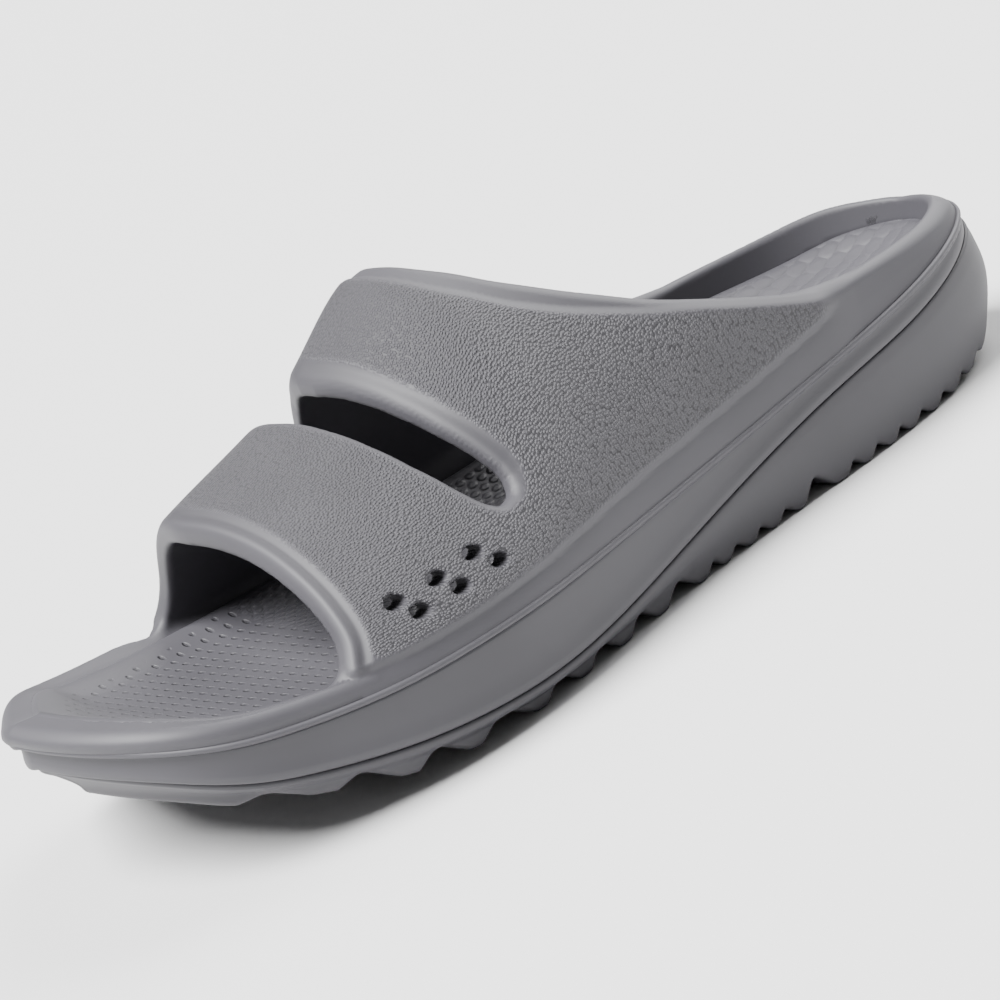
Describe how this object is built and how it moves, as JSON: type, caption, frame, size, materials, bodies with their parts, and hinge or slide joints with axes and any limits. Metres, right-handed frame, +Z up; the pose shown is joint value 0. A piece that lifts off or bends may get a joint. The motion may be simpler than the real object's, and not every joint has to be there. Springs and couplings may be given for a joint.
{
  "type": "slide sandal",
  "caption": "Moulded foam slide sandal for the left foot: two joined straps with a slot between them, vent holes, rimmed footbed and a wedge sole with cross lugs.",
  "frame": {"origin": "middle of the sandal's box, on the floor under the tread", "axes": "+X from heel to toe, +Y towards the outer side of the left foot, +Z up"},
  "size_m": [0.2836, 0.106, 0.0856],
  "materials": {
    "upper_foam": "matte moulded EVA foam, pebbled panels, satin borders",
    "footbed_foam": "matte moulded EVA foam with a fine raised grain",
    "midsole_foam": "satin moulded EVA foam",
    "outsole_foam": "satin moulded EVA foam"
  },
  "bodies": {
    "root": {"outsole": "outsole_foam", "midsole": "midsole_foam", "footbed": "footbed_foam", "upper": "upper_foam"}
  },
  "joints": []
}
